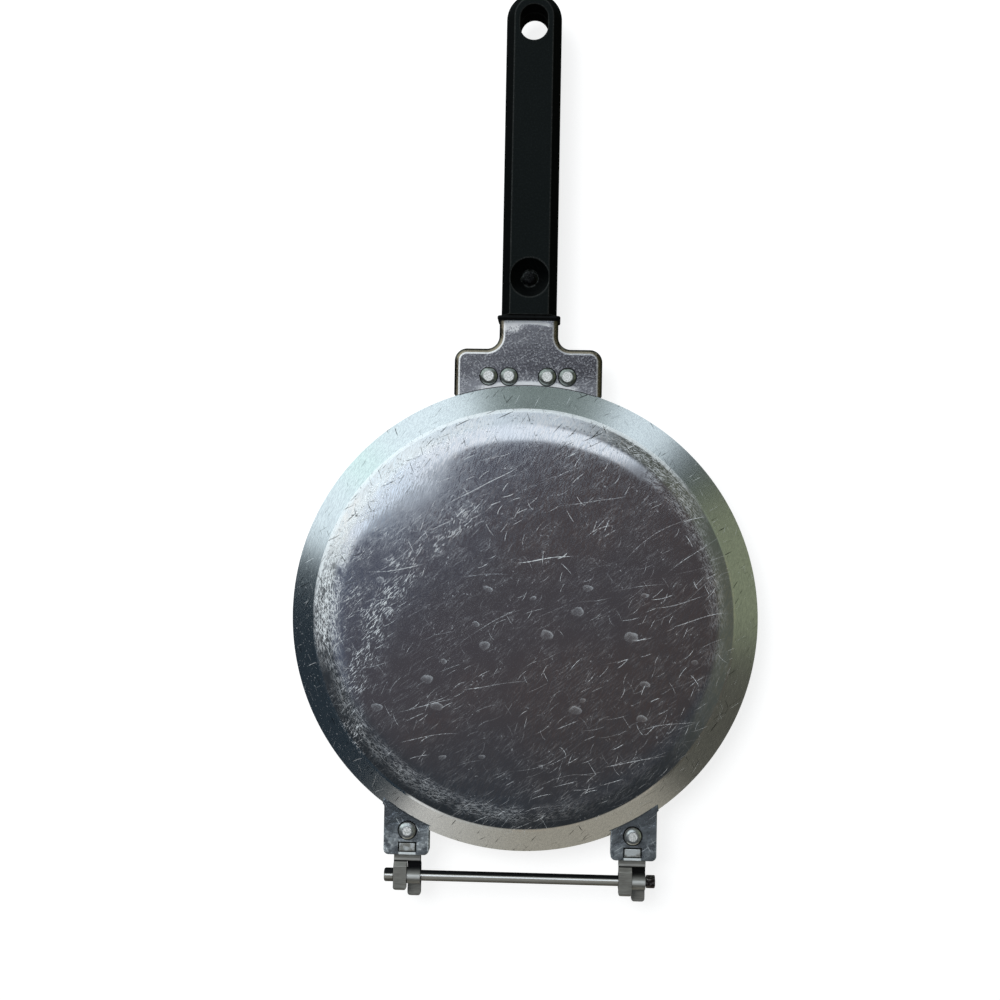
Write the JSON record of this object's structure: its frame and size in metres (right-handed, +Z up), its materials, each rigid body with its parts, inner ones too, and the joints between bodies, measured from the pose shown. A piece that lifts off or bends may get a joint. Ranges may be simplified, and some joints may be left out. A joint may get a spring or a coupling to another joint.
{
  "type": "flip pancake pan",
  "caption": "Shallow two-sided pancake pan: round aluminium halves close face to face, turn on a hinge rod opposite the handle, and each half carries half of the handle.",
  "frame": {"origin": "centre of the flat base of the lower pan, on the surface that the pan stands on", "axes": "+Y from the pan's centre along the handle, +Z up through the upper pan, +X to the right seen from above with the handle pointing away; the hinge rod runs along X on the -Y side"},
  "size_m": [0.222, 0.4319, 0.0383],
  "materials": {
    "pan_aluminium": "polished, worn with fine scratches",
    "bracket_metal": "bright pressed sheet",
    "rivet_aluminium": "bright",
    "hinge_steel": "satin",
    "rod_steel": "drawn, slightly oiled",
    "rod_end_steel": "dark",
    "grip_plastic": "moulded, fine grain",
    "collar_plastic": "smooth",
    "screw_steel": "blackened"
  },
  "bodies": {
    "lower_half": {"lower_pan": "pan_aluminium", "lower_bracket": "bracket_metal", "lower_bracket_rivet_1": "rivet_aluminium", "lower_bracket_rivet_2": "rivet_aluminium", "lower_bracket_rivet_3": "rivet_aluminium", "lower_bracket_rivet_4": "rivet_aluminium", "lower_hinge_leaf_left": "hinge_steel", "lower_hinge_leaf_right": "hinge_steel", "lower_hinge_rivet_left": "rivet_aluminium", "lower_hinge_rivet_right": "rivet_aluminium", "lower_collar": "collar_plastic", "lower_grip": "grip_plastic", "lower_grip_screw": "screw_steel", "lower_tang_nut": "hinge_steel"},
    "upper_half": {"upper_pan": "pan_aluminium", "upper_bracket": "bracket_metal", "upper_bracket_rivet_1": "rivet_aluminium", "upper_bracket_rivet_2": "rivet_aluminium", "upper_bracket_rivet_3": "rivet_aluminium", "upper_bracket_rivet_4": "rivet_aluminium", "upper_hinge_leaf_left": "hinge_steel", "upper_hinge_leaf_right": "hinge_steel", "upper_hinge_rivet_left": "rivet_aluminium", "upper_hinge_rivet_right": "rivet_aluminium", "upper_collar": "collar_plastic", "upper_grip": "grip_plastic", "upper_grip_screw": "screw_steel", "upper_tang_nut": "hinge_steel"},
    "hinge_pin": {"hinge_rod": "rod_steel", "rod_end_cap": "rod_end_steel"}
  },
  "joints": [
    {"name": "open", "type": "hinge", "parent": "lower_half", "child": "upper_half", "pos_m": [0, -0.1238, 0.01915], "axis": [1, 0, 0], "range_deg": [0, 180]},
    {"name": "rod_turn", "type": "hinge", "parent": "lower_half", "child": "hinge_pin", "pos_m": [0, -0.1238, 0.01915], "axis": [1, 0, 0], "continuous": true}
  ]
}
